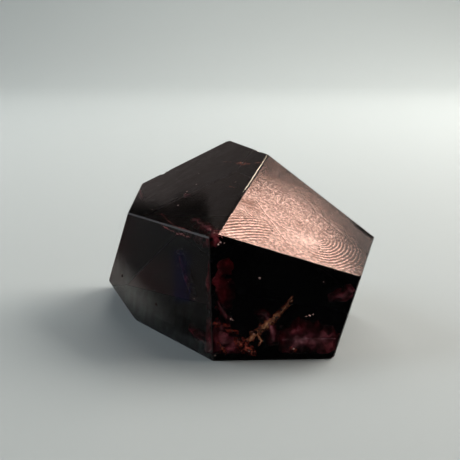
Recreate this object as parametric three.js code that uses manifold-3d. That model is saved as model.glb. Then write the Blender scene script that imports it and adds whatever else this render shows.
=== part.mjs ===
// A polished garnet crystal, 45 mm across: one loose stone with ground flat faces and narrow blunted edges.
// Millimetres, +Z up. The origin is in the middle of the stone's footprint box, on its ground base.
import * as THREE from "three";
import { mergeVertices } from "three/addons/utils/BufferGeometryUtils.js";
import Module from "manifold-3d";

// Each face by its compass bearing and its lean above level, in degrees, and its distance from the heart.
// Bearing 0 looks along +X and 90 along +Y, so the front of the stone faces -90.
const faces = {
  front: { bearing: -87.5, lean: 18, reach: 16.1 },
  leftFlank: { bearing: -143.5, lean: 9.5, reach: 13.3 },
  crown: { bearing: -146.5, lean: 66.5, reach: 8.9 },
  shoulder: { bearing: -61, lean: 61, reach: 10.1 },
  leftEnd: { bearing: 177, lean: 17.5, reach: 18.9 },
  rightEnd: { bearing: -13, lean: -16, reach: 21.4 },
  backSlope: { bearing: 26, lean: 38.5, reach: 14.5 },
  backLeft: { bearing: 123.5, lean: 29, reach: 21.6 },
  back: { bearing: 95, lean: -8, reach: 19.3 },
  backRight: { bearing: 45, lean: -14.5, reach: 17.4 },
  underBack: { bearing: 60, lean: -48, reach: 15.7 },
  underLeft: { bearing: -171.5, lean: -45, reach: 21.3 },
  base: { bearing: 0, lean: -90, reach: 13 },
};

// Width of the blunted strip that grinding left along each edge.
const edgeWidth = 0.22;
const widerEdges = [
  { between: ["crown", "shoulder"], width: 0.45 },
  { between: ["crown", "leftFlank"], width: 0.32 },
  { between: ["crown", "front"], width: 0.32 },
  { between: ["shoulder", "backSlope"], width: 0.5 },
  { between: ["rightEnd", "base"], width: 0.6 },
];

// Corners worn flat, by the depth taken off the sharp point.
const wornCorners = [
  { at: ["crown", "backLeft", "backSlope"], depth: 0.32 },
  { at: ["front", "shoulder", "rightEnd"], depth: 0.22 },
  { at: ["front", "rightEnd", "base"], depth: 0.3 },
  { at: ["leftFlank", "leftEnd", "underLeft"], depth: 0.12 },
];

// Chips knocked out of an edge: how far along it they lie from its left end, as a share of its length, and
// the radii of the hollow they leave, along the edge, across it and into the stone.
const chips = [
  { edge: ["crown", "backLeft"], along: 0.235, radii: [0.55, 1.1, 0.34] },
  { edge: ["crown", "backLeft"], along: 0.29, radii: [0.4, 0.7, 0.2] },
  { edge: ["crown", "backSlope"], along: 0.79, radii: [0.65, 1.0, 0.3] },
  { edge: ["crown", "backSlope"], along: 0.7, radii: [0.35, 0.6, 0.18] },
  { edge: ["backRight", "underBack"], along: 0.55, radii: [1.1, 1.3, 0.4] },
];
const chipDetail = 3; // rings of facets on a chip's hollow

const onPlane = 1e-4; // mm, closer than this counts as touching

const wasm = await Module();
wasm.setup();

// The plane of a face, with its normal pointing out of the stone and its distance counted from the heart.
function facePlane({ bearing, lean, reach }) {
  const turn = THREE.MathUtils.degToRad(bearing);
  const rise = THREE.MathUtils.degToRad(lean);
  const level = Math.cos(rise);
  const normal = new THREE.Vector3(Math.cos(turn) * level, Math.sin(turn) * level, Math.sin(rise));
  return { normal, reach };
}

// The point where three planes meet, or null where two of them run parallel.
function meetingPoint(a, b, c) {
  const bc = new THREE.Vector3().crossVectors(b.normal, c.normal);
  const ca = new THREE.Vector3().crossVectors(c.normal, a.normal);
  const ab = new THREE.Vector3().crossVectors(a.normal, b.normal);
  const spread = a.normal.dot(bc);
  if (Math.abs(spread) < onPlane) return null;
  return bc
    .multiplyScalar(a.reach)
    .addScaledVector(ca, b.reach)
    .addScaledVector(ab, c.reach)
    .divideScalar(spread);
}

// Every corner of the stone that the planes enclose.
function cornersOf(planes) {
  const corners = [];
  for (let i = 0; i < planes.length; i++) {
    for (let j = i + 1; j < planes.length; j++) {
      for (let k = j + 1; k < planes.length; k++) {
        const point = meetingPoint(planes[i], planes[j], planes[k]);
        if (!point) continue;
        const inside = planes.every((p) => p.normal.dot(point) < p.reach + onPlane);
        const known = corners.some((c) => c.distanceTo(point) < 2 * onPlane);
        if (inside && !known) corners.push(point);
      }
    }
  }
  return corners;
}

const touches = (plane, point) => Math.abs(plane.normal.dot(point) - plane.reach) < 2 * onPlane;

// The two ends of the edge between two faces, the one with the smaller x first.
function edgeEnds(a, b, corners) {
  const ends = corners.filter((point) => touches(a, point) && touches(b, point));
  return ends.sort((p, q) => p.x - q.x);
}

// A plane that takes the sharp line or point off where these faces meet. It looks out midway between them.
function bluntPlane(meeting, point, depth) {
  const normal = new THREE.Vector3();
  meeting.forEach((plane) => normal.add(plane.normal));
  normal.normalize();
  return { normal, reach: normal.dot(point) - depth };
}

// A strip of this width along the edge between two faces. The angle between them sets how deep it cuts.
function edgePlane(a, b, end, width) {
  const halfAngle = a.normal.angleTo(b.normal) / 2;
  return bluntPlane([a, b], end, (width / 2) * Math.tan(halfAngle));
}

// The closed body that the planes enclose, with each face as a fan of triangles around its first corner.
function bodyOf(planes) {
  const corners = cornersOf(planes);
  const triangles = [];
  for (const plane of planes) {
    const rim = corners.map((point, index) => ({ point, index }));
    const ring = rim.filter((corner) => touches(plane, corner.point));
    if (ring.length < 3) continue;
    const middle = new THREE.Vector3();
    ring.forEach((corner) => middle.addScaledVector(corner.point, 1 / ring.length));
    const east = new THREE.Vector3().subVectors(ring[0].point, middle).normalize();
    const north = new THREE.Vector3().crossVectors(plane.normal, east);
    const turn = (point) => {
      const arm = new THREE.Vector3().subVectors(point, middle);
      return Math.atan2(arm.dot(north), arm.dot(east));
    };
    ring.sort((p, q) => turn(p.point) - turn(q.point));
    for (let i = 1; i < ring.length - 1; i++) {
      triangles.push(ring[0].index, ring[i].index, ring[i + 1].index);
    }
  }
  const geometry = new THREE.BufferGeometry();
  geometry.setFromPoints(corners);
  geometry.setIndex(triangles);
  return geometry;
}

// The hollow that a chip leaves in an edge: a flattened ball whose short way points into the stone.
function chipHollow(a, b, ends, { along, radii }) {
  const outward = new THREE.Vector3().addVectors(a.normal, b.normal).normalize();
  const lengthwise = new THREE.Vector3().subVectors(ends[1], ends[0]).normalize();
  const across = new THREE.Vector3().crossVectors(outward, lengthwise);
  const middle = new THREE.Vector3().lerpVectors(ends[0], ends[1], along);
  const placing = new THREE.Matrix4().makeBasis(lengthwise, across, outward).setPosition(middle);
  return new THREE.IcosahedronGeometry(1, chipDetail).scale(...radii).applyMatrix4(placing);
}

// Geometry to a manifold-3d solid and back.
function solidOf(geometry) {
  const bare = geometry.clone();
  bare.deleteAttribute("normal");
  bare.deleteAttribute("uv");
  const merged = mergeVertices(bare);
  return new wasm.Manifold(
    new wasm.Mesh({
      numProp: 3,
      vertProperties: merged.attributes.position.array,
      triVerts: new Uint32Array(merged.index.array),
    }),
  );
}

function geometryOf(solid) {
  const { vertProperties, triVerts } = solid.getMesh();
  const geometry = new THREE.BufferGeometry();
  geometry.setAttribute("position", new THREE.BufferAttribute(vertProperties, 3));
  geometry.setIndex(new THREE.BufferAttribute(triVerts, 1));
  geometry.computeVertexNormals();
  return geometry;
}

function garnetGeometry() {
  const planes = {};
  for (const [name, face] of Object.entries(faces)) planes[name] = facePlane(face);
  const sharp = Object.values(planes);
  const corners = cornersOf(sharp);
  const widthOf = (a, b) => {
    const wider = widerEdges.find(({ between }) => between.includes(a) && between.includes(b));
    return wider ? wider.width : edgeWidth;
  };

  const blunted = [...sharp];
  const names = Object.keys(planes);
  names.forEach((a, i) => {
    names.slice(i + 1).forEach((b) => {
      const ends = edgeEnds(planes[a], planes[b], corners);
      if (ends.length === 2) blunted.push(edgePlane(planes[a], planes[b], ends[0], widthOf(a, b)));
    });
  });
  for (const { at, depth } of wornCorners) {
    const meeting = at.map((name) => planes[name]);
    blunted.push(bluntPlane(meeting, meetingPoint(...meeting), depth));
  }

  let stone = solidOf(bodyOf(blunted));
  for (const chip of chips) {
    const [a, b] = chip.edge.map((name) => planes[name]);
    stone = stone.subtract(solidOf(chipHollow(a, b, edgeEnds(a, b, corners), chip)));
  }
  return geometryOf(stone);
}

const geometry = garnetGeometry();
geometry.computeBoundingBox();
const middle = geometry.boundingBox.getCenter(new THREE.Vector3());
geometry.translate(-middle.x, -middle.y, -geometry.boundingBox.min.z);

const garnet = new THREE.Mesh(
  geometry,
  new THREE.MeshStandardMaterial({ color: 0x2a0a10, roughness: 0.12, metalness: 0 }),
);
garnet.name = "garnet_crystal";

const group = new THREE.Group();
group.add(garnet);

export default group;
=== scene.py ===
import math

import bmesh
import bpy
from mathutils import Matrix, Vector, noise


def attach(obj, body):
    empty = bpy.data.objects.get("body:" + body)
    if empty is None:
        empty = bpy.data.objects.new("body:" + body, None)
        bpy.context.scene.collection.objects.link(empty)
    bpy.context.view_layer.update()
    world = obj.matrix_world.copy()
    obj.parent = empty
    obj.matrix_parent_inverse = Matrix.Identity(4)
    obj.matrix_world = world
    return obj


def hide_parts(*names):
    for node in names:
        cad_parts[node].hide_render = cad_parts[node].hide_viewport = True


# A polished garnet crystal on a pale floor under soft studio lamps: its finish, the marks on it and what is
# sealed in it. Lengths are in millimetres and angles in degrees, unless a note says otherwise.
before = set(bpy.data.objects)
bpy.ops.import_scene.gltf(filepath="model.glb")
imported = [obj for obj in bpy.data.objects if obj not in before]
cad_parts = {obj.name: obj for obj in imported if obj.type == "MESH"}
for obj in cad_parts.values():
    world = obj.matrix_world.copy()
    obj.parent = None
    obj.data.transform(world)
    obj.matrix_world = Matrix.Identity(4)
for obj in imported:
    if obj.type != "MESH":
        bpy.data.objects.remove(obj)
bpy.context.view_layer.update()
scene = bpy.context.scene
mm = 0.001
print("frame loaded")


# sRGB hex to the linear colour that Blender works in
def toLinear(hexColour, alpha=1.0):
    digits = hexColour.lstrip("#")
    channels = [int(digits[i : i + 2], 16) / 255 for i in (0, 2, 4)]
    linear = [c / 12.92 if c <= 0.04045 else ((c + 0.055) / 1.055) ** 2.4 for c in channels]
    return (*linear, alpha)


# Adds a node: values go on its inputs, links join sockets to its inputs, and the rest are its own settings
def addNode(tree, kind, values=None, links=None, **settings):
    node = tree.nodes.new(kind)
    for name, value in settings.items():
        setattr(node, name, value)
    for name, value in (values or {}).items():
        node.inputs[name].default_value = value
    for name, socket in (links or {}).items():
        tree.links.new(socket, node.inputs[name])
    return node


# A unit vector from a compass bearing and a height above level. Bearing -90 is the stone's front.
def heading(bearing, height):
    turn, rise = math.radians(bearing), math.radians(height)
    return Vector((math.cos(turn) * math.cos(rise), math.sin(turn) * math.cos(rise), math.sin(rise)))


# A new object of these points, in millimetres, and faces
def meshObject(name, points, faces):
    mesh = bpy.data.meshes.new(name)
    mesh.from_pydata([Vector(point) * mm for point in points], [], faces)
    made = bpy.data.objects.new(name, mesh)
    scene.collection.objects.link(made)
    return made


cameraSpec = {
    "aim": (-1.1, -0.1, 14.7),  # the point of the stone that it looks at
    "away": 150,
    "bearing": -90,
    "height": 14,
    "lens": 70.4,
    "sensor": 36,
    "nearest": 5,
}


def makeCamera(spec):
    data = bpy.data.cameras.new("camera")
    data.lens = spec["lens"]
    data.sensor_width = spec["sensor"]
    data.clip_start = spec["nearest"] * mm
    camera = bpy.data.objects.new("camera", data)
    scene.collection.objects.link(camera)
    aim = Vector(spec["aim"]) * mm
    outward = heading(spec["bearing"], spec["height"])
    camera.location = aim + outward * spec["away"] * mm
    camera.rotation_euler = outward.to_track_quat("Z", "Y").to_euler()
    scene.camera = camera


makeCamera(cameraSpec)
scene.view_settings.view_transform = "Standard"
print("camera placed")

wattsPerGlow = 4  # that a lamp gives for each square metre and each unit of glow

# Soft boxes by where they hang as seen from the stone, the size of their cloth and how brightly it glows
softBoxes = {
    "overheadBox": {
        "bearing": 76, "height": 44, "away": 540,
        "size": (420, 280), "glow": 3.0, "colour": "#fffaf6", "mirrored": False,
    },
    "rightBox": {
        "bearing": 31, "height": 34, "away": 540,
        "size": (420, 280), "glow": 7.0, "colour": "#fff6ee", "mirrored": True,
    },
    "leftBox": {
        "bearing": 157, "height": 38, "away": 600,
        "size": (340, 280), "glow": 2.8, "colour": "#f2f8ff", "mirrored": False,
    },
}
# These face straight down and light the floor, in front of the stone and at its left
floorBoxes = {
    "farBox": {
        "place": (0, -760, 520), "size": (1200, 420), "spread": 100, "glow": 2.6, "colour": "#ffffff",
    },
    "farLeftBox": {
        "place": (-760, -160, 520), "size": (420, 900), "spread": 95, "glow": 3.6, "colour": "#ffffff",
    },
}


# A lamp behind a cloth of this size, not hung yet
def makeLamp(name, spec):
    lamp = bpy.data.lights.new(name, "AREA")
    lamp.shape = "RECTANGLE"
    lamp.size, lamp.size_y = (side * mm for side in spec["size"])
    lamp.color = toLinear(spec["colour"])[:3]
    lamp.energy = spec["glow"] * wattsPerGlow * lamp.size * lamp.size_y
    box = bpy.data.objects.new(name, lamp)
    scene.collection.objects.link(box)
    box.visible_camera = False
    return box


def hangSoftBox(name, spec):
    box = makeLamp(name, spec)
    outward = heading(spec["bearing"], spec["height"])
    box.location = outward * spec["away"] * mm
    box.rotation_euler = outward.to_track_quat("Z", "Y").to_euler()
    box.visible_glossy = spec["mirrored"]


def hangFloorBox(name, spec):
    box = makeLamp(name, spec)
    box.data.spread = math.radians(spec["spread"])
    box.location = Vector(spec["place"]) * mm
    box.visible_glossy = False


for boxName, boxSpec in floorBoxes.items():
    hangFloorBox(boxName, boxSpec)
for boxName, boxSpec in softBoxes.items():
    hangSoftBox(boxName, boxSpec)

# Glowing cloths that light nothing and show only where something mirrors them, painted reflections, each by
# its corners' bearings and heights as seen from the stone. The shoulder mirrors the warm one, the crown the
# grey one, whose glow fades to almost nothing at its top, and their worn edge the last one, a painted
# highlight line.
mirroredCloths = {
    "warmCloth": {
        "corners": [
            (66, 61), (60.5, 57.2), (57, 55.4), (52, 53.9), (47, 53.4), (42, 53.6), (34, 54.5), (28, 62),
            (36, 72), (58, 76), (70, 70),
        ],
        "away": 600, "glow": 11.2, "glowAtTop": 11.2, "colour": "#ffd2c0",
    },
    "greyCloth": {
        "corners": [
            (117, 26.5), (114.9, 29), (113.2, 31.2), (111.7, 31.4), (110.1, 32.9), (111.4, 33.9),
            (112.2, 35.3), (112.4, 37.5), (98, 38.5), (96, 28), (105, 24),
        ],
        "away": 600, "glow": 0.37, "glowAtTop": 0.01, "colour": "#fff0ee",
    },
    "lineCloth": {
        "corners": [(105.4, 39.4), (103, 44), (99, 49), (96.4, 47.5), (100, 41.5), (103.4, 38.6)],
        "away": 600, "glow": 11, "glowAtTop": 9, "colour": "#fff0d8",
    },
}
# Cloths of the same kind that lie on the floor, for the left flank to mirror and seen by nothing else:
# painted reflections.
# The wide one is as pale as the floor along a line beside the stone and fades to dark away from it, painted
# shade for the flank to mirror. The narrow one over it is all blue, a painted blue streak in the flank.
laidCloths = {
    "fadedCloth": {
        "corners": [(-17, -4.5), (-74, 27), (-300, 152), (-1500, 250), (-1500, -900), (-20, -900)],
        "above": 0.2, "pale": "#d2d8d6", "dark": "#4e5051",
        "line": (-17, -4.5), "turn": -119, "fade": (0.5, 9.5),
    },
    "blueCloth": {
        "corners": [(-49.5, 0.9), (-54.5, -0.8), (-182, 41.6), (-171, 43)],
        "above": 0.4, "pale": "#3d4468", "dark": "#3d4468",
        "line": (0, 0), "turn": 0, "fade": (0, 1),
    },
}


# Gives a cloth its material and hides it from all rays but mirrored ones
def mirroredOnly(cloth, material):
    cloth.data.materials.append(material)
    cloth.visible_camera = False
    cloth.visible_diffuse = False
    cloth.visible_shadow = False
    cloth.visible_transmission = False


# Hangs a glowing cloth that lights nothing: a painted reflection for the stone's faces
def hangCloth(name, spec):
    directions = [heading(*corner) for corner in spec["corners"]]
    middle = sum(directions, Vector()).normalized()
    points = [d * spec["away"] / d.dot(middle) for d in directions]
    cloth = meshObject(name, points, [tuple(range(len(points)))])
    material = bpy.data.materials.new("paintedReflectionGlow")
    material.use_nodes = True
    tree = material.node_tree
    bsdf = tree.nodes["Principled BSDF"]
    bsdf.inputs["Base Color"].default_value = (0, 0, 0, 1)
    bsdf.inputs["Specular IOR Level"].default_value = 0
    bsdf.inputs["Emission Color"].default_value = toLinear(spec["colour"])
    position = addNode(tree, "ShaderNodeTexCoord")
    sides = addNode(tree, "ShaderNodeSeparateXYZ", links={"Vector": position.outputs["Object"]})
    heights = [point.z * mm for point in points]
    glow = addNode(
        tree, "ShaderNodeMapRange",
        {
            "From Min": min(heights), "From Max": max(heights),
            "To Min": spec["glow"], "To Max": spec["glowAtTop"],
        },
        {"Value": sides.outputs["Z"]},
    )
    tree.links.new(glow.outputs["Result"], bsdf.inputs["Emission Strength"])
    mirroredOnly(cloth, material)


# Lays a cloth that only the stone's faces mirror: a painted reflection, pale fading to dark
def layCloth(name, spec):
    points = [(x, y, spec["above"]) for x, y in spec["corners"]]
    cloth = meshObject(name, points, [tuple(range(len(points)))])
    material = bpy.data.materials.new("paintedReflectionFelt")
    material.use_nodes = True
    tree = material.node_tree
    bsdf = tree.nodes["Principled BSDF"]
    bsdf.inputs["Specular IOR Level"].default_value = 0
    where = addNode(tree, "ShaderNodeTexCoord")
    fromLine = addNode(
        tree, "ShaderNodeMapping",
        {
            "Location": [side * mm for side in (*spec["line"], 0)],
            "Rotation": (0, 0, math.radians(spec["turn"])), "Scale": (mm, mm, mm),
        },
        {"Vector": where.outputs["Object"]}, vector_type="TEXTURE",
    )
    sides = addNode(tree, "ShaderNodeSeparateXYZ", links={"Vector": fromLine.outputs["Vector"]})
    near, far = spec["fade"]
    fade = addNode(
        tree, "ShaderNodeMapRange", {"From Min": near, "From Max": far}, {"Value": sides.outputs["X"]},
        interpolation_type="SMOOTHSTEP",
    )
    shade = addNode(
        tree, "ShaderNodeMix", {"A": toLinear(spec["pale"]), "B": toLinear(spec["dark"])},
        {"Factor": fade.outputs["Result"]}, data_type="RGBA",
    )
    tree.links.new(shade.outputs["Result"], bsdf.inputs["Base Color"])
    mirroredOnly(cloth, material)


for clothName, clothSpec in mirroredCloths.items():
    hangCloth(clothName, clothSpec)
for clothName, clothSpec in laidCloths.items():
    layCloth(clothName, clothSpec)

# A dim room for the stone to mirror. Where the floor ends, the camera sees a pale grey much like it. Rays
# that leave the stone through a face meet soft light from all round, which shows what is sealed in it.
roomSpec = {"dim": "#0e0e10", "beyondFloor": "#b4b8b6", "throughGlass": "#fff6ee", "throughGlow": 4.2}


def makeRoom(spec):
    world = bpy.data.worlds.new("dimRoom")
    scene.world = world
    world.use_nodes = True
    tree = world.node_tree
    rays = addNode(tree, "ShaderNodeLightPath")
    shade = addNode(
        tree, "ShaderNodeMix", {"A": toLinear(spec["dim"]), "B": toLinear(spec["beyondFloor"])},
        {"Factor": rays.outputs["Is Camera Ray"]}, data_type="RGBA",
    )
    around = [channel * spec["throughGlow"] for channel in toLinear(spec["throughGlass"])]
    lit = addNode(
        tree, "ShaderNodeMix", {"B": around},
        {"A": shade.outputs["Result"], "Factor": rays.outputs["Is Transmission Ray"]}, data_type="RGBA",
    )
    tree.links.new(lit.outputs["Result"], tree.nodes["Background"].inputs["Color"])


makeRoom(roomSpec)
print("lamps hung")

# A pale painted board that curves up behind the stone into a low wall
floorSpec = {
    "front": -1600, "side": 1600, "bendStart": 420, "bendRadius": 200, "wallTop": 250,
    "bendSteps": 24, "colour": "#bcc5c5", "roughness": 0.7, "specular": 0.2,
}


def makeFloor(spec):
    profile = [(spec["front"], 0), (spec["bendStart"], 0)]
    radius = spec["bendRadius"]
    for step in range(1, spec["bendSteps"] + 1):
        turn = math.pi / 2 * step / spec["bendSteps"]
        profile.append((spec["bendStart"] + radius * math.sin(turn), radius * (1 - math.cos(turn))))
    profile.append((profile[-1][0], spec["wallTop"]))
    points = [(x, y, z) for y, z in profile for x in (-spec["side"], spec["side"])]
    strips = [(2 * i, 2 * i + 1, 2 * i + 3, 2 * i + 2) for i in range(len(profile) - 1)]
    floor = meshObject("floor", points, strips)
    for face in floor.data.polygons:
        face.use_smooth = True
    material = bpy.data.materials.new("palePaint")
    material.use_nodes = True
    bsdf = material.node_tree.nodes["Principled BSDF"]
    bsdf.inputs["Base Color"].default_value = toLinear(spec["colour"])
    bsdf.inputs["Roughness"].default_value = spec["roughness"]
    bsdf.inputs["Specular IOR Level"].default_value = spec["specular"]
    floor.data.materials.append(material)


makeFloor(floorSpec)
print("floor laid")

# The faces that carry marks, by the way they look out
markedFaces = {
    "front": (-87.5, 18),
    "leftFlank": (-143.5, 9.5),
    "crown": (-146.5, 66.5),
    "shoulder": (-61, 61),
}
sameWay = 1  # degrees, faces that look out this nearly the same way are one


# Whether a face looks out within this many degrees of a direction
def looksAlong(face, outward, within):
    return face.normal.dot(outward) > math.cos(math.radians(within))


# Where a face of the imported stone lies: X runs level to the right, Y up the face and Z out of it, in
# millimetres from its middle
def facePlace(node, direction):
    outward = heading(*direction)
    middle, area = Vector(), 0
    for face in node.data.polygons:
        if looksAlong(face, outward, sameWay):
            middle += face.center * face.area
            area += face.area
    across = Vector((0, 0, 1)).cross(outward).normalized()
    turn = Matrix((across, outward.cross(across), outward)).transposed().to_4x4()
    return Matrix.Translation(middle / area) @ turn @ Matrix.Scale(mm, 4)


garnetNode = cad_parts["garnet_crystal"]
places = {name: facePlace(garnetNode, direction) for name, direction in markedFaces.items()}

stoneSpec = {
    "smallestGround": 12,  # mm2
    "weld": 0.0005,  # corners closer than this are one
    "flatWithin": 0.35,  # degrees, faces closer than this are one ground face
    "rounding": 0.09,  # softening of every line left by grinding
    "roundingSteps": 2,
    "sharpest": 6,  # degrees, lines flatter than this aren't rounded
    "longestScar": 1.2,  # faces no longer than this are the hollow of a chip
    "smoothWithin": 30,  # degrees, edges that look out this near to the shoulder's way are worn smooth
    "wornWithin": 4,  # degrees, faces this near to midway between crown and shoulder are their worn edge
    "wornRound": 0.6,  # how round that edge is shaded, where 1 is fully round
}
materialOrder = ["polishedGarnet", "groundEdge"]


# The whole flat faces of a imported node: the way each looks out and how far it lies from the origin
def groundFaces(node, spec):
    found = []
    for face in node.data.polygons:
        same = [g for g in found if looksAlong(face, g["out"].normalized(), sameWay)]
        ground = same[0] if same else {"out": Vector(), "middle": Vector(), "area": 0}
        if not same:
            found.append(ground)
        ground["out"] += face.normal * face.area
        ground["middle"] += face.center * face.area
        ground["area"] += face.area
    kept = [g for g in found if g["area"] > spec["smallestGround"] * mm**2]
    return [(g["out"].normalized(), g["out"].normalized().dot(g["middle"] / g["area"])) for g in kept]


grounds = groundFaces(garnetNode, stoneSpec)


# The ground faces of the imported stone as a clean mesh: its triangles are joined back into whole flat faces
def wholeFaces(node, spec):
    shape = bmesh.new()
    shape.from_mesh(node.data)
    bmesh.ops.remove_doubles(shape, verts=shape.verts, dist=spec["weld"] * mm)
    bmesh.ops.dissolve_limit(
        shape, angle_limit=math.radians(spec["flatWithin"]), verts=shape.verts, edges=shape.edges
    )
    return shape


# The way the whole flat face that this face is part of looks out, or None for an edge or a chip
def groundOf(face):
    for outward, _ in grounds:
        if looksAlong(face, outward, sameWay):
            return outward
    return None


# Which finish a face has, and whether it is shaded round: the hollow of a chip, or an edge worn smooth
def finishOf(face, spec):
    if groundOf(face) is not None:
        return "polishedGarnet", False
    scar = max(edge.calc_length() for edge in face.edges) < spec["longestScar"] * mm
    worn = scar or looksAlong(face, heading(*markedFaces["shoulder"]), spec["smoothWithin"])
    return ("polishedGarnet" if worn else "groundEdge"), worn


# The way a corner of a face looks out when it is shaded: dead flat on a ground face, turned round over the
# worn edge, and left alone elsewhere
def shadedNormal(face, corner, spec):
    crown, shoulder = (heading(*markedFaces[name]) for name in ("crown", "shoulder"))
    if looksAlong(face, (crown + shoulder).normalized(), spec["wornWithin"]):
        side = 1 if (corner - face.center).dot(shoulder - crown) > 0 else -1
        return (crown + shoulder + (shoulder - crown) * side * spec["wornRound"]).normalized()
    return groundOf(face) or Vector()


def makeStone(node, spec):
    shape = wholeFaces(node, spec)
    shape.normal_update()
    for face in shape.faces:
        finish, worn = finishOf(face, spec)
        face.material_index = materialOrder.index(finish)
        face.smooth = worn
    sharp = math.radians(spec["sharpest"])
    lines = [e for e in shape.edges if len(e.link_faces) == 2 and e.calc_face_angle(0) > sharp]
    rounded = bmesh.ops.bevel(
        shape, geom=lines, offset=spec["rounding"] * mm, segments=spec["roundingSteps"], profile=0.5,
        affect="EDGES", clamp_overlap=True,
    )
    for face in rounded["faces"]:
        face.smooth = True
    mesh = bpy.data.meshes.new("garnet_stone")
    shape.to_mesh(mesh)
    shape.free()
    shading = []
    for face in mesh.polygons:
        shading += [shadedNormal(face, mesh.vertices[corner].co, spec) for corner in face.vertices]
    mesh.normals_split_custom_set(shading)
    made = bpy.data.objects.new("garnet_stone", mesh)
    scene.collection.objects.link(made)
    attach(made, "root")
    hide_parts("garnet_crystal")
    return made


stone = makeStone(garnetNode, stoneSpec)
print("stone made:", len(stone.data.polygons), "faces")

# Almandine garnet. What gets through is crimson, and it is so dense that more than a centimetre looks black.
garnetSpec = {
    "ior": 1.78,
    "passes": "#c8004e",  # the colour of what gets through, as an absorption colour
    "darkens": 640,  # per metre
}

# Skin grease and dust, a thin brownish film that dulls what a face mirrors
filmSpec = {"tint": "#9c7f70", "roughness": 0.5, "ior": 1.4}


# Garnet behind a face whose roughness and, where they are given, normal and film come from these sockets
def garnetGlass(material, spec, roughness, normal=None, film=None):
    tree = material.node_tree
    bsdf = tree.nodes["Principled BSDF"]
    bsdf.inputs["Base Color"].default_value = (1, 1, 1, 1)
    bsdf.inputs["IOR"].default_value = spec["ior"]
    bsdf.inputs["Transmission Weight"].default_value = 1
    tree.links.new(roughness, bsdf.inputs["Roughness"])
    if normal:
        tree.links.new(normal, bsdf.inputs["Normal"])
    if film:
        tree.links.new(film, bsdf.inputs["Coat Weight"])
        bsdf.inputs["Coat Tint"].default_value = toLinear(filmSpec["tint"])
        bsdf.inputs["Coat Roughness"].default_value = filmSpec["roughness"]
        bsdf.inputs["Coat IOR"].default_value = filmSpec["ior"]
    absorb = addNode(
        tree, "ShaderNodeVolumeAbsorption", {"Color": toLinear(spec["passes"]), "Density": spec["darkens"]}
    )
    tree.links.new(absorb.outputs["Volume"], tree.nodes["Material Output"].inputs["Volume"])


# Position in millimetres, measured in a face's own place where one is given
def positionOf(tree, place=None):
    where = addNode(tree, "ShaderNodeTexCoord")
    origin, turn, _ = (place or Matrix.Identity(4)).decompose()
    position = addNode(
        tree, "ShaderNodeMapping",
        {"Location": origin, "Rotation": turn.to_euler(), "Scale": (mm, mm, mm)},
        {"Vector": where.outputs["Object"]}, vector_type="TEXTURE",
    )
    return position.outputs["Vector"]


# A new material, its nodes and its position in millimetres
def startMaterial(name):
    material = bpy.data.materials.new(name)
    material.use_nodes = True
    return material, material.node_tree, positionOf(material.node_tree)


# Noise whose cells are this many millimetres along X, Y and Z, stretched between low and high
def grainOf(tree, position, cells, low, high, turn=0, detail=3):
    scaled = addNode(
        tree, "ShaderNodeMapping", {"Rotation": (0, 0, math.radians(turn)), "Scale": cells},
        {"Vector": position}, vector_type="TEXTURE",
    )
    cloud = addNode(
        tree, "ShaderNodeTexNoise", {"Scale": 1, "Detail": detail}, {"Vector": scaled.outputs["Vector"]}
    )
    sharpened = addNode(
        tree, "ShaderNodeMapRange", {"From Min": low, "From Max": high}, {"Value": cloud.outputs["Fac"]}
    )
    return sharpened.outputs["Result"]


patchDepth = 1000  # how far a patch reaches in and out of its face, so that only X and Y count


# One inside a patch with this middle, these half sizes and this turn, fading to nothing at its rim
def patchOf(tree, position, middle, halves, turn=0, soft=0.5, square=False):
    local = addNode(
        tree, "ShaderNodeMapping",
        {
            "Location": (*middle, 0), "Rotation": (0, 0, math.radians(turn)),
            "Scale": (*halves, patchDepth),
        },
        {"Vector": position}, vector_type="TEXTURE",
    ).outputs["Vector"]
    if square:
        size = addNode(tree, "ShaderNodeVectorMath", links={0: local}, operation="ABSOLUTE")
        sides = addNode(tree, "ShaderNodeSeparateXYZ", links={"Vector": size.outputs["Vector"]})
        reach = addNode(
            tree, "ShaderNodeMath", links={0: sides.outputs["X"], 1: sides.outputs["Y"]},
            operation="MAXIMUM",
        )
    else:
        reach = addNode(tree, "ShaderNodeVectorMath", links={0: local}, operation="LENGTH")
    faded = addNode(
        tree, "ShaderNodeMapRange", {"From Min": 1, "From Max": 1 - soft},
        {"Value": reach.outputs["Value"]}, interpolation_type="SMOOTHSTEP",
    )
    return faded.outputs["Result"]


# A straight line between two points, shifted sideways by this much
def lineOf(tree, position, start, end, width, shift=0):
    along = Vector(end) - Vector(start)
    middle = (Vector(start) + Vector(end)) / 2 + along.orthogonal().normalized() * shift
    turn = math.degrees(math.atan2(along.y, along.x))
    return patchOf(tree, position, middle, (along.length / 2, width / 2), turn, soft=0.9, square=True)


# Marks laid over what is there already, each a pair of the mark and its share
def layOver(tree, already, marks):
    for mark, share in marks:
        laid = addNode(
            tree, "ShaderNodeMath", {1: share}, {0: mark, 2: already}, operation="MULTIPLY_ADD"
        )
        already = laid.outputs["Value"]
    return already


greaseContrast = (0.32, 0.7)  # the part of the noise that the bare and the thickest grease come from


# Grease as layers of noise, each with its own cells, turn and share of the whole
def greaseOf(tree, position, layers):
    bare = addNode(tree, "ShaderNodeValue").outputs["Value"]  # a new one is zero
    clouds = [
        grainOf(tree, position, layer["cells"], *greaseContrast, layer["turn"], layer["detail"])
        for layer in layers
    ]
    return layOver(tree, bare, zip(clouds, [layer["share"] for layer in layers]))


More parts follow.
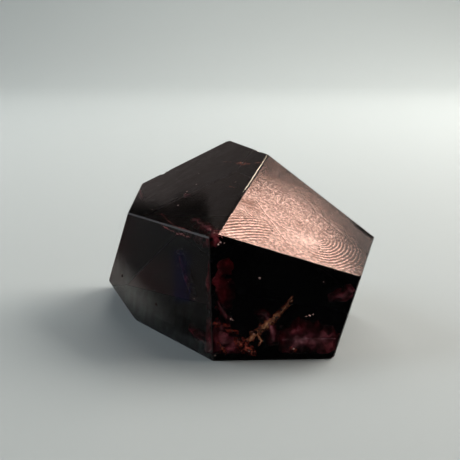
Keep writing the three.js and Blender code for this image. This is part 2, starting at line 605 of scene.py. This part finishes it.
# Garnet polished on a lap: glassy, with faint wipe marks and smears, dust, and drag lines of the last grit
polishSpec = {
    "gloss": (0.02, 0.05),  # roughness where it is cleanest and where it is smeared
    "film": (0, 0.6),  # how much of the film's look there is, likewise
    "grease": [
        {"cells": (9, 2.4, 5), "turn": 35, "detail": 3, "share": 0.3},
        {"cells": (2.6, 1.1, 2), "turn": 20, "detail": 5, "share": 0.35},
        {"cells": (1.1, 1.1, 14), "turn": 0, "detail": 3, "share": 0.35},
    ],
    "pits": [  # face, middle on it and radius
        ("leftFlank", (-12.0, -2.3), 0.34), ("leftFlank", (-0.6, -4.3), 0.32), ("crown", (6.4, 3.4), 0.2),
    ],
    "pitRoughness": 0.6,
    "dragCells": (0.5, 0.5, 12),
    "dustEvery": 2.6, "dustSize": 0.12, "dustRoughness": 0.4,
    "waviness": 0.005,  # height of the drag lines, drawn higher than real so that they show
}


# The roughness, film and height in millimetres of the plain polish
def polishOf(tree, position, spec):
    grease = greaseOf(tree, position, spec["grease"])
    unpitted = addNode(tree, "ShaderNodeValue").outputs["Value"]
    hollows = []
    for face, middle, radius in spec["pits"]:
        pitMiddle = places[face] @ Vector((*middle, 0)) / mm
        away = addNode(tree, "ShaderNodeVectorMath", {1: pitMiddle}, {0: position}, operation="DISTANCE")
        hollow = addNode(
            tree, "ShaderNodeMapRange", {"From Min": radius, "From Max": radius / 2},
            {"Value": away.outputs["Value"]},
        )
        hollows.append((hollow.outputs["Result"], 1))
    pitted = layOver(tree, unpitted, hollows)
    dust = addNode(
        tree, "ShaderNodeTexVoronoi", {"Scale": 1 / spec["dustEvery"]}, {"Vector": position}, feature="F1"
    )
    speckSize = spec["dustSize"] / spec["dustEvery"]
    speck = addNode(
        tree, "ShaderNodeMapRange",
        {"From Min": speckSize / 2, "From Max": speckSize / 4, "To Max": spec["dustRoughness"]},
        {"Value": dust.outputs["Distance"]},
    )
    smeared, film = (
        addNode(tree, "ShaderNodeMapRange", {"To Min": low, "To Max": high}, {"Value": grease})
        for low, high in (spec["gloss"], spec["film"])
    )
    dusty = addNode(
        tree, "ShaderNodeMath", links={0: smeared.outputs["Result"], 1: speck.outputs["Result"]},
        operation="MAXIMUM",
    )
    roughness = layOver(tree, dusty.outputs["Value"], [(pitted, spec["pitRoughness"])])
    thickness = layOver(tree, film.outputs["Result"], [(pitted, 1)])
    drag = grainOf(tree, position, spec["dragCells"], 0, 1, detail=1)
    height = addNode(tree, "ShaderNodeMapRange", {"To Max": spec["waviness"]}, {"Value": drag})
    return roughness, thickness, height.outputs["Result"]


# The same polish where hands have held it: skin grease lies on it in finger marks, smears and wipes, with
# fine scratches, so its shine is broken up
handledSpec = {
    "gloss": (0.05, 0.13),
    "film": (0.02, 1),
    "grease": [
        {"cells": (7, 0.6, 3), "turn": -68, "detail": 2, "share": 0.12},
        {"cells": (7, 0.6, 3), "turn": -28, "detail": 2, "share": 0.1},
        {"cells": (3.4, 2.4, 2), "turn": -40, "detail": 2, "share": 0.22},
        {"cells": (0.5, 0.38, 0.4), "turn": -60, "detail": 3, "share": 0.66},
    ],
    "peelCells": (0.4, 0.3, 0.4),
    "smudges": [  # middle, half sizes, turn and share: below nothing is a place wiped clean
        ((-6.2, 4.8), (3.4, 1.7), -62, 0.25), ((-9.6, 3.4), (1.8, 0.9), -20, 0.2),
        ((3.2, 14.6), (3.2, 2.4), -48, 0.3), ((11.2, -5.2), (1.7, 4.4), 24, -0.9),
        ((-1.0, -5.0), (4.6, 2.6), -40, -0.3), ((-11.6, -1.0), (2.6, 1.4), -8, -0.3),
    ],
    # Finger marks: where they lie, what their ridges curve round and how far apart these are. The second
    # one's ridges are drawn a little coarser than its real 0.46, so that they show.
    "prints": [
        {"middle": (-9.7, -0.2), "halves": (5.6, 3.9), "turn": -10, "centre": (-12.4, -15.6), "every": 0.6},
        {"middle": (2.7, -8.7), "halves": (5.2, 4.2), "turn": -20, "centre": (1.6, -5.2), "every": 0.54},
    ],
    "ridgeWaver": {"Distortion": 7, "Detail": 1, "Detail Scale": 0.22},
    "ridgeShare": 1.0, "liftShare": -0.4,  # a finger leaves grease in ridges, and lifts some between them
    "scratches": [  # both ends and width
        ((3.4, 4.0), (7.5, -10.5), 0.2), ((2.8, 3.2), (6.9, -10.3), 0.16),
        ((-4.8, 8.1), (-4.4, -7.7), 0.17), ((0.8, 13.9), (2.4, 8.8), 0.16),
        ((-1.6, 12.2), (2.9, 1.5), 0.13), ((-6.4, 5.2), (-2.4, -3.4), 0.2),
        ((6.2, 5.2), (9.6, -3.1), 0.13), ((-8.6, 4.6), (-6.2, 0.2), 0.15),
        ((-0.6, 11.0), (5.6, 9.8), 0.12), ((-9.8, 2.4), (-6.0, 5.2), 0.12),
    ],
    "scratchShare": 1, "burrShare": -0.6,  # a scratch is dull, and the burr along it shines
    "pits": [  # middle and radius
        ((5.2, 0.4), 0.28), ((-0.9, 7.4), 0.2), ((7.6, -4.9), 0.16), ((-2.8, 1.1), 0.16),
    ],
    "unevenness": 0.004,  # height of the fine hammered look and of the ridges on it
}


ringsPerScale = 20 / math.tau  # that a wave texture draws in each unit of length


# The roughness, film and height in millimetres of the handled face, from the position in its own place
def handledOf(tree, position, spec):
    film = greaseOf(tree, position, spec["grease"])
    height = grainOf(tree, position, spec["peelCells"], 0, 1, detail=4)
    marks = [
        (patchOf(tree, position, middle, halves, turn, soft=0.9), share)
        for middle, halves, turn, share in spec["smudges"]
    ]
    for held in spec["prints"]:
        local = addNode(
            tree, "ShaderNodeMapping", {"Location": (*held["centre"], 0)}, {"Vector": position},
            vector_type="TEXTURE",
        )
        rings = addNode(
            tree, "ShaderNodeTexWave", {"Scale": 1 / ringsPerScale / held["every"], **spec["ridgeWaver"]},
            {"Vector": local.outputs["Vector"]}, wave_type="RINGS", rings_direction="Z",
        )
        touch = patchOf(tree, position, held["middle"], held["halves"], held["turn"], soft=0.6)
        ridges = addNode(
            tree, "ShaderNodeMath", links={0: rings.outputs["Fac"], 1: touch}, operation="MULTIPLY"
        ).outputs["Value"]
        marks += [(touch, spec["liftShare"]), (ridges, spec["ridgeShare"])]
        height = layOver(tree, height, [(ridges, spec["ridgeShare"])])
    for start, end, width in spec["scratches"]:
        scratch = lineOf(tree, position, start, end, width)
        burr = lineOf(tree, position, start, end, width, shift=width)
        marks += [(scratch, spec["scratchShare"]), (burr, spec["burrShare"])]
    marks += [(patchOf(tree, position, middle, (radius, radius)), 1) for middle, radius in spec["pits"]]
    film = layOver(tree, film, marks)
    roughness, thickness = (
        addNode(tree, "ShaderNodeMapRange", {"To Min": low, "To Max": high}, {"Value": film})
        for low, high in (spec["gloss"], spec["film"])
    )
    unevenness = addNode(
        tree, "ShaderNodeMath", {1: spec["unevenness"]}, {0: height}, operation="MULTIPLY"
    )
    return roughness.outputs["Result"], thickness.outputs["Result"], unevenness.outputs["Value"]


# Both looks are in one material, because one body of glass runs behind all its faces. The handled look begins
# this far above the shoulder's plane and is whole at the second height.
handledHeights = (-0.02, -0.01)


def polishedGarnet():
    material, tree, position = startMaterial("polishedGarnet")
    onShoulder = positionOf(tree, places["shoulder"])
    sides = addNode(tree, "ShaderNodeSeparateXYZ", links={"Vector": onShoulder})
    handled = addNode(
        tree, "ShaderNodeMapRange", {"From Min": handledHeights[0], "From Max": handledHeights[1]},
        {"Value": sides.outputs["Z"]},
    )
    mixed = []
    for plain, held in zip(polishOf(tree, position, polishSpec), handledOf(tree, onShoulder, handledSpec)):
        both = addNode(
            tree, "ShaderNodeMix", links={"Factor": handled.outputs["Result"], "A": plain, "B": held}
        )
        mixed.append(both.outputs["Result"])
    roughness, film, height = mixed
    bump = addNode(tree, "ShaderNodeBump", {"Distance": mm}, {"Height": height})
    garnetGlass(material, garnetSpec, roughness, bump.outputs["Normal"], film)
    return material


# Garnet left as the grit cut it: a frosted, slightly paler line along each edge
edgeSpec = {
    "frost": "#3f3836", "clear": 0.6, "roughness": (0.3, 0.5),
    "gritCells": (0.15, 0.15, 0.15), "gritContrast": (0.3, 0.7),
}


def groundEdge(spec):
    material, tree, position = startMaterial("groundEdge")
    grit = grainOf(tree, position, spec["gritCells"], *spec["gritContrast"])
    low, high = spec["roughness"]
    cut = addNode(tree, "ShaderNodeMapRange", {"To Min": low, "To Max": high}, {"Value": grit})
    garnetGlass(material, garnetSpec, cut.outputs["Result"])
    bsdf = tree.nodes["Principled BSDF"]
    bsdf.inputs["Base Color"].default_value = toLinear(spec["frost"])
    bsdf.inputs["Transmission Weight"].default_value = spec["clear"]
    return material


finishes = {"polishedGarnet": polishedGarnet(), "groundEdge": groundEdge(edgeSpec)}
for finish in materialOrder:
    stone.data.materials.append(finishes[finish])
print("stone finished")

# What is sealed in the stone, each sheet by the face that it lies behind. A route is a line of points on that
# face with the sheet's half width at each, depth is how far behind the face it lies, and sinks is how much
# deeper its rim lies. Crumple is how far it wavers, over patches as big as grain. The higher gaps is, the
# more of it is missing, and step is how far apart its points are.
sealedSheets = {
    "ochre_vein": {
        "behind": "front", "finish": "limonite", "depth": 0.42, "crumple": 0.3, "grain": 0.9, "gaps": 0.36,
        "step": 0.14, "seed": 3, "sinks": 0.9,
        "routes": [
            [(2.8, 1.1, 0.2), (2.2, 0.1, 0.42), (0.9, -1.2, 0.4), (-0.3, -2.3, 0.62), (-1.5, -3.3, 0.7),
             (-2.4, -4.0, 0.55), (-3.3, -4.7, 0.75), (-4.2, -5.5, 0.5)],
            [(-2.6, -4.4, 0.2), (-2.1, -5.4, 0.3), (-2.6, -6.3, 0.15)],
        ],
    },
    "rust_streaks": {
        "behind": "front", "finish": "rust", "depth": 0.8, "crumple": 0.5, "grain": 0.7, "gaps": 0.4,
        "step": 0.14, "seed": 11, "sinks": 0.8,
        "routes": [
            [(-6.3, -5.0, 0.3), (-4.9, -6.1, 1.0), (-3.6, -7.1, 0.8), (-2.9, -7.6, 0.3)],
            [(-9.2, -2.7, 0.3), (-7.9, -3.2, 0.55), (-6.4, -3.9, 0.45), (-5.4, -4.2, 0.25)],
            [(-8.6, -5.6, 0.2), (-7.8, -6.7, 0.35), (-7.2, -7.5, 0.2)],
            [(2.1, -6.6, 0.2), (2.9, -6.9, 0.4), (3.6, -6.6, 0.2)],
            [(-4.9, -4.7, 0.2), (-4.3, -6.0, 0.35), (-4.9, -7.4, 0.2)],
        ],
    },
    "front_veils": {
        "behind": "front", "finish": "healedCrack", "depth": 1.0, "crumple": 0.45, "grain": 2.4,
        "gaps": 0.08, "step": 0.22, "seed": 5, "sinks": 2.4,
        "routes": [
            [(0.4, -6.0, 1.8), (2.6, -5.6, 2.7), (5.2, -5.4, 3.0), (7.4, -5.8, 2.6), (9.4, -6.4, 1.8)],
            [(-9.4, -5.2, 2.2), (-7.9, -5.4, 2.5), (-6.0, -6.2, 1.8), (-4.6, -6.6, 1.0)],
            [(-8.8, -2.0, 0.5), (-7.8, -3.6, 1.0), (-7.2, -4.6, 0.8)],
            [(-8.6, 0.6, 0.3), (-7.6, -1.2, 0.7), (-6.8, -2.6, 0.6)],
            [(-3.0, -1.2, 0.4), (-1.4, -1.6, 0.9), (-0.4, -4.2, 1.1), (-0.2, -6.3, 0.9)],
            [(8.2, 0.8, 0.6), (10.6, 1.2, 1.2), (12.1, 2.4, 0.7)],
        ],
    },
    "front_seam": {
        "behind": "front", "finish": "healedCrack", "depth": 0.4, "crumple": 0.05, "grain": 0.8,
        "gaps": 0.25, "step": 0.12, "seed": 6, "sinks": 0,
        "routes": [[(1.0, -5.3, 0.05), (4.6, -5.2, 0.07), (9.0, -5.3, 0.05)]],
    },
    "crown_veils": {
        "behind": "crown", "finish": "healedCrack", "depth": 1.0, "crumple": 0.4, "grain": 1.6, "gaps": 0.3,
        "step": 0.22, "seed": 8, "sinks": 1.6,
        "routes": [
            [(7.8, -6.9, 0.5), (11.0, -7.6, 1.2), (14.2, -8.1, 1.1), (17.0, -8.7, 0.5)],
            [(-1.6, -2.4, 0.3), (-0.6, -2.6, 0.6), (0.4, -2.2, 0.3)],
            [(-13.2, -5.0, 0.2), (-10.6, -6.2, 0.4), (-8.6, -7.0, 0.2)],
        ],
    },
    "crown_crack": {
        "behind": "crown", "finish": "paleCrystal", "depth": 1.5, "crumple": 0.4, "grain": 0.6, "gaps": 0.5,
        "step": 0.1, "seed": 2, "sinks": 0,
        "routes": [
            [(0.6, -8.6, 0.05), (3.6, -9.3, 0.08), (6.7, -9.9, 0.06), (9.6, -9.8, 0.09),
             (12.4, -9.8, 0.05)],
            [(15.4, -8.2, 0.06), (16.4, -7.6, 0.22), (17.3, -7.9, 0.06)],
        ],
    },
    "crown_rust": {
        "behind": "crown", "finish": "rust", "depth": 0.45, "crumple": 0.25, "grain": 0.7, "gaps": 0.44,
        "step": 0.12, "seed": 21, "sinks": 0.2,
        "routes": [
            [(-0.6, 8.3, 0.12), (0.4, 8.4, 0.3), (1.4, 8.6, 0.5), (2.3, 8.7, 0.3), (3.2, 9.0, 0.12)],
            [(-3.6, 7.7, 0.06), (-2.4, 8.1, 0.12), (-1.4, 8.2, 0.06)],
            [(3.8, 9.5, 0.06), (4.8, 9.9, 0.14), (5.8, 9.7, 0.06)],
            [(6.0, 2.0, 0.05), (7.0, 2.2, 0.09), (8.0, 2.1, 0.05)],
        ],
    },
    "flank_veils": {
        "behind": "leftFlank", "finish": "healedCrack", "depth": 2.4, "crumple": 0.7, "grain": 2.4,
        "gaps": 0.3, "step": 0.26, "seed": 14, "sinks": 2.6,
        "routes": [
            [(7.0, -5.6, 0.5), (10.0, -6.6, 1.1), (12.8, -7.0, 0.9), (14.6, -7.6, 0.4)],
            [(10.4, 5.8, 0.5), (11.2, 1.8, 1.0), (12.2, -2.4, 0.8)],
            [(1.8, 5.4, 0.3), (4.4, 2.2, 0.7), (7.2, -1.0, 0.4)],
        ],
    },
}
# What is the same for all the sheets
sheetForm = {
    "thickness": 0.04,
    "leastDepth": 0.14,  # between its middle surface and every face of the stone
    "fray": 0.45,  # how far its sides wander, as a share of its half width
    "wanderAlong": 0.35, "wanderAcross": 0.1,  # how fast they do, a step at a time
    "shortestEnd": 0.5,  # the shortest stretch over which the end of a route sinks
    "routesApart": 7,  # in the noise, so that no two routes crumple alike
    "crumpleNoise": (0.6, 2.1, 3),  # roughness, spread and number of octaves
    "gapNoise": (0.7, 2.1, 3),
    "gapsPerGrain": 1.7,
}

# Small crystals sealed in the stone: middle on the face, depth behind it and radius
sealedSpecks = {
    "front": [
        (5.2, -1.8, 0.4, 0.16), (4.7, -1.9, 0.45, 0.1), (5.7, -1.6, 0.4, 0.09), (-2.2, 3.9, 0.3, 0.15),
        (-8.3, 9.0, 0.3, 0.16), (-8.0, 9.3, 0.3, 0.14), (-7.4, 9.2, 0.4, 0.08), (-6.6, -2.1, 0.35, 0.12),
        (-6.3, -2.3, 0.4, 0.08), (2.7, -6.7, 0.4, 0.13), (-9.0, -7.5, 0.3, 0.1), (-3.9, -7.0, 0.4, 0.1),
        (-3.2, -4.4, 0.35, 0.1), (0.8, -3.3, 0.5, 0.08), (-6.9, 3.4, 0.6, 0.06), (7.4, 3.2, 0.7, 0.06),
    ],
    "crown": [
        (-0.9, -2.1, 0.3, 0.14), (-0.5, -2.6, 0.35, 0.11), (0.2, -3.3, 0.3, 0.07), (1.9, -5.8, 0.3, 0.13),
        (-4.6, 3.0, 0.3, 0.09), (-1.3, 0.2, 0.3, 0.1), (-2.2, -8.7, 0.3, 0.1), (1.4, 8.6, 0.25, 0.12),
        (16.4, -7.6, 0.35, 0.14), (15.6, -8.3, 0.4, 0.12), (17.0, -8.6, 0.3, 0.1), (-9.6, -2.9, 0.4, 0.06),
    ],
    "leftFlank": [
        (3.8, 3.1, 0.4, 0.06), (-6.9, 2.6, 0.5, 0.06), (9.2, -0.8, 0.5, 0.07), (12.6, 4.0, 0.4, 0.06),
    ],
    "shoulder": [(5.2, 0.4, 0.3, 0.1)],
}
speckForm = {"detail": 2, "sunk": 0.3, "lumpy": 0.5, "lumps": 1.3}  # sunk and lumpy are shares of the radius


# Where along a route the sheet's middle line runs, and its half width there, a step at a time
def alongRoute(route, step):
    stations = []
    for (u0, v0, w0), (u1, v1, w1) in zip(route, route[1:]):
        count = max(1, round(math.hypot(u1 - u0, v1 - v0) / step))
        stations += [Vector((u0, v0, w0)).lerp(Vector((u1, v1, w1)), i / count) for i in range(count)]
    return stations + [Vector(route[-1])]


# The nearest point that every face of the stone has the least depth of garnet over
def keptInside(point):
    for outward, reach in grounds:
        over = outward.dot(point) - (reach - sheetForm["leastDepth"] * mm)
        if over > 0:
            point = point - outward * over
    return point


# A crumpled, ragged sheet with gaps in it
def makeSheet(name, spec):
    place = places[spec["behind"]]
    seed = spec["seed"]
    shape = bmesh.new()
    for number, route in enumerate(spec["routes"]):
        stations = alongRoute(route, spec["step"])
        widest = max(station.z for station in stations)
        half = max(1, round(widest / spec["step"]))
        rows = []
        for i, station in enumerate(stations):
            before, after = stations[max(i - 1, 0)], stations[min(i + 1, len(stations) - 1)]
            ahead = Vector((after.x - before.x, after.y - before.y)).normalized()
            row = []
            for j in range(-half, half + 1):
                wander = Vector((i * sheetForm["wanderAlong"], j * sheetForm["wanderAcross"], seed + number))
                fray = 1 + sheetForm["fray"] * noise.noise(wander)
                out = station.z * fray * j / half
                u, v = station.x - ahead.y * out, station.y + ahead.x * out
                spot = Vector((u, v, seed + sheetForm["routesApart"] * number)) / spec["grain"]
                toEnd = min(i, len(stations) - 1 - i) * spec["step"]
                rim = max(abs(j) / half, 1 - toEnd / max(widest, sheetForm["shortestEnd"]))
                crumple = spec["crumple"] * noise.fractal(spot, *sheetForm["crumpleNoise"])
                depth = spec["depth"] + crumple + spec["sinks"] * rim**2
                row.append(shape.verts.new(keptInside(place @ Vector((u, v, -depth)))))
            rows.append(row)
        for a, b in zip(rows, rows[1:]):
            for j in range(2 * half):
                corner = place.inverted() @ a[j].co
                spot = corner.xy.to_3d() / spec["grain"] * sheetForm["gapsPerGrain"]
                whole = 0.5 + 0.5 * noise.fractal(spot, *sheetForm["gapNoise"])
                if whole > spec["gaps"]:
                    shape.faces.new((a[j], a[j + 1], b[j + 1], b[j]))
    loose = [vert for vert in shape.verts if not vert.link_faces]
    bmesh.ops.delete(shape, geom=loose, context="VERTS")
    for face in shape.faces:
        face.smooth = True
    mesh = bpy.data.meshes.new(name)
    shape.to_mesh(mesh)
    shape.free()
    sheet = bpy.data.objects.new(name, mesh)
    thicken = sheet.modifiers.new("thickness", "SOLIDIFY")
    thicken.thickness = sheetForm["thickness"] * mm
    thicken.offset = 0
    return sheet


# Small lumpy grains, all in one mesh
def makeSpecks(name, spec):
    shape = bmesh.new()
    for face, specks in spec.items():
        for number, (u, v, depth, radius) in enumerate(specks):
            ball = bmesh.ops.create_icosphere(shape, subdivisions=speckForm["detail"], radius=radius)
            middle = Vector((u, v, -depth - speckForm["sunk"] * radius))
            for vert in ball["verts"]:
                spot = vert.co / radius * speckForm["lumps"] + Vector((number, len(face), 0))
                lump = 1 + speckForm["lumpy"] * noise.noise(spot)
                vert.co = places[face] @ (middle + vert.co * lump)
    mesh = bpy.data.meshes.new(name)
    shape.to_mesh(mesh)
    shape.free()
    return bpy.data.objects.new(name, mesh)


# Limonite: earthy iron oxide that fills an open crack, matt and ochre, browner where it is thick
limoniteSpec = {"colours": ["#21170f", "#5e4830", "#8f7550", "#c4b48c"], "cells": 0.6, "roughness": 0.8}
# Rust: the same oxide as a thin red-brown stain on the walls of a crack
rustSpec = {"colours": ["#180a08", "#46231a", "#85503a", "#c8926e"], "cells": 0.5, "roughness": 0.7}
# A healed crack: a film of tiny fluid drops, pale but patchy, that gleams softly through the red glass
healedSpec = {"colours": ["#130c12", "#33242e", "#5a4654", "#a08a98"], "cells": 1.4, "roughness": 0.45}
# Colourless crystals and open crack ends: white glints
crystalSpec = {"colours": ["#9a8484", "#d8ccc8", "#fbf6f0", "#ffffff"], "cells": 0.2, "roughness": 0.3}
sealedContrast = (0.3, 0.72)  # the part of the noise that the first and the last colour come from


def sealedMaterial(name, spec):
    material, tree, position = startMaterial(name)
    cloud = grainOf(tree, position, (spec["cells"],) * 3, *sealedContrast, detail=5)
    shades = addNode(tree, "ShaderNodeValToRGB", links={"Fac": cloud})
    ramp = shades.color_ramp
    for index, colour in enumerate(spec["colours"]):
        stop = ramp.elements[index] if index < 2 else ramp.elements.new(1)
        stop.position = index / (len(spec["colours"]) - 1)
        stop.color = toLinear(colour)
    bsdf = tree.nodes["Principled BSDF"]
    bsdf.inputs["Roughness"].default_value = spec["roughness"]
    tree.links.new(shades.outputs["Color"], bsdf.inputs["Base Color"])
    return material


def sealIn(piece, material):
    scene.collection.objects.link(piece)
    piece.data.materials.append(material)
    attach(piece, "root")


sealedMaterials = {
    "limonite": sealedMaterial("limonite", limoniteSpec),
    "rust": sealedMaterial("rust", rustSpec),
    "healedCrack": sealedMaterial("healedCrack", healedSpec),
    "paleCrystal": sealedMaterial("paleCrystal", crystalSpec),
}
for sheetName, sheetSpec in sealedSheets.items():
    sealIn(makeSheet(sheetName, sheetSpec), sealedMaterials[sheetSpec["finish"]])
sealIn(makeSpecks("pale_specks", sealedSpecks), sealedMaterials["paleCrystal"])
print("inclusions sealed in")
